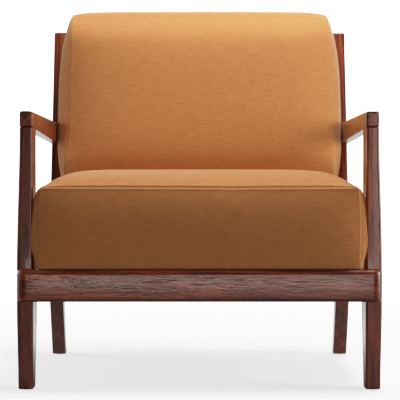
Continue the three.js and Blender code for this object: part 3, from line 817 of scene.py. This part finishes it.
def back_shape(x, y, z):
    """The back cushion's swollen form, in the back's frame."""
    half, front, rear, bottom, top = (BACK[key] for key in ("half", "front", "rear", "bottom", "top"))
    tx = x / half
    ty = 2 * (y - front) / (rear - front) - 1
    tz = 2 * (z - bottom) / (top - bottom) - 1
    side, ahead, upper = math.copysign(1, x), ty < 0, tz > 0
    widen = side * BACK_FOOT_WIDENING * smooth(-tz, 0.1, 1.0) * abs(tx)
    swell_x = side * BACK_SIDE_SWELL * dome(ty, 2.3) * dome(tz, 3) * abs(tx) ** 3
    swell_y = -BACK_FRONT_SWELL * dome(tx, 6) * dome(tz, 4) ** 2 * abs(ty) ** 3 if ahead else 0.0
    if upper:
        crown = BACK_CROWN * dome(tx, 12) * dome(ty, 4) ** 2 * tz ** 3
    else:
        crown = -BACK_DROOP * dome(tx, 8) * dome(ty, 4) ** 2 * abs(tz) ** 5

    # The front panel turns over the top in one piece, and every long edge is softly rounded.
    radius_y, radius_z = BACK_ROUNDING["front" if ahead else "rear", "top" if upper else "bottom"]
    gap_y = y - front if ahead else rear - y
    gap_z = top - z if upper else z - bottom
    round_y, round_z = round_corner(gap_y, gap_z, radius_y, radius_z)
    move_y = (1 if ahead else -1) * (round_y - gap_y)
    move_z = (-1 if upper else 1) * (round_z - gap_z)
    return Vector((x + widen + swell_x, y + swell_y + move_y, z + crown + move_z))


def back_seam(x, y, z):
    """The seams run round the two side panels only."""
    on_side = BACK["half"] - abs(x)
    rim = min(y - BACK["front"], BACK["rear"] - y, z - BACK["bottom"], BACK["top"] - z)
    on_panel = min(on_side, rim) < 1e-6
    return (max(on_side, rim) if on_panel else on_side + rim), BACK_SEAM_DEPTH


def back_free(x, y, z):
    """0 where the back cushion leans on the slats or stands on the seat, and 1 away from there."""
    return smooth(BACK["rear"] - y, 0, 35 * MM) * smooth(z - BACK["bottom"], 0, 60 * MM)


def build_cushions():
    """The two loose cushions, each a closed, padded cover."""
    seat_lines = [grid_lines(-SEAT["half"], SEAT["half"]), grid_lines(SEAT["front"], SEAT["rear"]),
                  grid_lines(0.0, SEAT["height"])]
    seat = shape_cushion("seat_cushion_cover", seat_lines, seat_shape, seat_seam,
                         seat_free, deck_point)
    back_lines = [grid_lines(-BACK["half"], BACK["half"]), grid_lines(BACK["front"], BACK["rear"]),
                  grid_lines(BACK["bottom"], BACK["top"])]
    back = shape_cushion("back_cushion_cover", back_lines, back_shape, back_seam,
                         back_free, back_point)
    for piece, body, slot in ((seat, "seat_cushion", "seat_cloth"), (back, "back_cushion", "back_cloth")):
        smoothing = piece.modifiers.new("smoothing", "SUBSURF")
        smoothing.levels = smoothing.render_levels = 1
        smoothing.uv_smooth = "PRESERVE_BOUNDARIES"
        finish_piece(piece, cloth(slot), body, slot, body)


def build_straps():
    """The webbing's material, on each strap."""
    band = webbing()
    for i in range(1, 7):
        dress_node(f"seat_strap_{i}", band, 0.6 * MM)


# ---- Stage, light and camera ------------------------------------------------------------------

CAMERA_HEIGHT = 457 * MM
CAMERA_DISTANCE = 3.600  # ahead of the front legs' front faces
CAMERA_PITCH = math.radians(-1.2361)  # slightly downwards
CAMERA_SHIFT = 0.0015  # sideways, as a share of the frame's width
SENSOR, LENS = 36.0, 163.08  # millimetres

SEEN = 3.0  # how bright the surroundings look
AMBIENT = 0.15  # how brightly they light the chair
GLOSS_AHEAD, GLOSS_BEHIND = 0.02, 0.75  # how bright they are in its gloss, by where they lie
FLOOR_COLOR, FLOOR_GLOW = 0.80, 0.8  # as they look around the chair
FLOOR_BOUNCE = 0.28  # the share of light that the floor throws back at the chair
FLOOR_FADE = (0.8, 3.0)  # distances from the chair between which the floor brightens

GAMMA = 0.86
WHITE_LEVEL = 3.0
TONE_KNEE = 0.5  # the curve is straight up to here, and then flattens towards white
TONE_POINTS = (0.5, 0.75, 1.0, 1.5, 2.0)  # scene values at which the curve has a point


def floor_material():
    """A pale floor that brightens into the surroundings away from the chair."""
    shader = Shader("floor", Roughness=0.9)
    shader.surface.inputs["Specular IOR Level"].default_value = 0.0
    place = shader.node("TexCoord").outputs["Object"]
    rays = shader.node("LightPath").outputs
    seen, glossy = rays["Is Camera Ray"], rays["Is Glossy Ray"]
    shade = shader.between(seen, 0, 1, FLOOR_BOUNCE, FLOOR_COLOR)
    color = shader.node("CombineColor", {0: shade, 1: shade, 2: shade}).outputs[0]
    distance = shader.node("VectorMath", {0: place}, operation="LENGTH").outputs["Value"]
    near, far = FLOOR_FADE
    fade = shader.node("MapRange", {"Value": distance, "From Min": near, "From Max": far},
                       interpolation_type="SMOOTHSTEP").outputs[0]
    behind = shader.between(shader.node("SeparateXYZ", {0: place}).outputs[1], -0.3, 0.6,
                            GLOSS_AHEAD, GLOSS_BEHIND)
    brightness = shader.between(fade, 0, 1, FLOOR_GLOW, SEEN)
    glow = shader.math("ADD", shader.math("MULTIPLY", seen, brightness),
                       shader.math("MULTIPLY", glossy, behind))
    shader.material.cycles.emission_sampling = "NONE"
    return shader.connect(Base_Color=color, Emission_Color=(1, 1, 1, 1), Emission_Strength=glow)


def studio_world():
    """White surroundings: bright behind the chair where its gloss shows them, and dim elsewhere."""
    world = bpy.data.worlds.new("studio")
    world.use_nodes = True
    tree = world.node_tree
    background = tree.nodes["Background"]
    direction = tree.nodes.new("ShaderNodeTexCoord").outputs["Generated"]
    split = tree.nodes.new("ShaderNodeSeparateXYZ")
    tree.links.new(direction, split.inputs[0])
    gloss = tree.nodes.new("ShaderNodeMapRange")
    gloss.interpolation_type = "SMOOTHSTEP"
    for socket, value in (("From Min", -0.1), ("From Max", 0.6), ("To Min", GLOSS_AHEAD),
                          ("To Max", GLOSS_BEHIND)):
        gloss.inputs[socket].default_value = value
    tree.links.new(split.outputs[1], gloss.inputs["Value"])
    rays = tree.nodes.new("ShaderNodeLightPath").outputs
    strength = AMBIENT
    for ray, value in (("Is Glossy Ray", gloss.outputs[0]), ("Is Camera Ray", SEEN)):
        mix = tree.nodes.new("ShaderNodeMix")
        tree.links.new(rays[ray], mix.inputs[0])
        for socket, item in ((mix.inputs[2], strength), (mix.inputs[3], value)):
            if isinstance(item, float):
                socket.default_value = item
            else:
                tree.links.new(item, socket)
        strength = mix.outputs[0]
    tree.links.new(strength, background.inputs["Strength"])
    background.inputs["Color"].default_value = (1, 1, 1, 1)
    world.cycles.sampling_method = "NONE"
    return world


# Each light: where it is, where it aims, its width and height in metres, its power in watts and
# its colour.
WARM, NEUTRAL, COOL = (1.0, 0.80, 0.74), (0.97, 1.0, 0.97), (0.88, 0.94, 1.0)
LIGHTS = {
    "top": ((0.3, 0.1, 2.3), (0, 0, 0.4), (1.0, 1.0), 54, NEUTRAL),
    "upper_left": ((-0.6, -2.1, 2.4), (0, 0.2, 0.5), (0.7, 1.0), 0.9, WARM),
    "upper_right": ((0.6, -2.1, 2.4), (0, 0.2, 0.5), (0.7, 1.0), 1.6, WARM),
    "strip_low": ((0.0, -2.87, 0.076), (0, 0, 0.076), (1.15, 0.1), 2.6, WARM),
    "strip_high": ((0.0, -2.87, 0.37), (0, 0, 0.37), (1.5, 0.48), 1.2, WARM),
    "strip_right": ((0.85, -2.87, 0.38), (0.2, 0, 0.38), (0.5, 0.7), 5.0, WARM),
    "right_front": ((2.2, -1.2, 0.8), (0.1, -0.3, 0.4), (0.5, 1.3), 9, NEUTRAL),
    "right": ((2.0, -0.5, 0.75), (0, -0.3, 0.35), (0.5, 1.3), 20, NEUTRAL),
    "left": ((-2.0, -0.4, 0.75), (0, -0.3, 0.35), (0.5, 1.3), 3, COOL),
    "left_front": ((-2.2, -1.2, 0.8), (-0.1, -0.3, 0.4), (0.5, 1.3), 2, COOL),
    "left_back": ((-2.0, 0.8, 0.8), (0, 0, 0.5), (0.8, 1.2), 17, COOL),
}


def build_lights():
    for name, (position, target, size, power, color) in LIGHTS.items():
        data = bpy.data.lights.new(name, "AREA")
        data.shape = "RECTANGLE"
        data.size, data.size_y = size
        data.energy = power
        data.color = color
        obj = bpy.data.objects.new(name, data)
        bpy.context.scene.collection.objects.link(obj)
        obj.location = position
        obj.visible_camera = False
        obj.rotation_euler = (Vector(target) - Vector(position)).to_track_quat("-Z", "Y").to_euler()


def build_camera():
    data = bpy.data.cameras.new("camera")
    data.sensor_width = SENSOR
    data.lens = LENS
    data.shift_x = CAMERA_SHIFT
    camera = bpy.data.objects.new("camera", data)
    bpy.context.scene.collection.objects.link(camera)
    camera.location = (0, FRONT_Y - CAMERA_DISTANCE, CAMERA_HEIGHT)
    camera.rotation_euler = (math.pi / 2 + CAMERA_PITCH, 0, 0)
    bpy.context.scene.camera = camera


def shown_tone(scene_value):
    """How bright a scene value above the knee is shown."""
    rest = 1 - TONE_KNEE
    return 1 - rest * math.exp((TONE_KNEE - scene_value) / rest)


def build_stage():
    """Floor, surroundings and the picture's tones."""
    bpy.ops.mesh.primitive_plane_add(size=60, location=(0, 0, 0))
    floor = bpy.context.object
    floor.name = "floor"
    floor.data.materials.append(floor_material())
    scene = bpy.context.scene
    scene.world = studio_world()
    view = scene.view_settings
    view.view_transform = "Standard"
    view.look = "None"
    view.gamma = GAMMA
    view.use_curve_mapping = True
    curve = view.curve_mapping
    curve.white_level = (WHITE_LEVEL,) * 3
    points = curve.curves[3].points  # of the curve for all three colours
    for scene_value in TONE_POINTS:
        points.new(scene_value / WHITE_LEVEL, shown_tone(scene_value))
    points[0].handle_type = "VECTOR"
    curve.update()


build_wood()
build_hardware()
build_straps()
build_cushions()
build_stage()
build_lights()
build_camera()
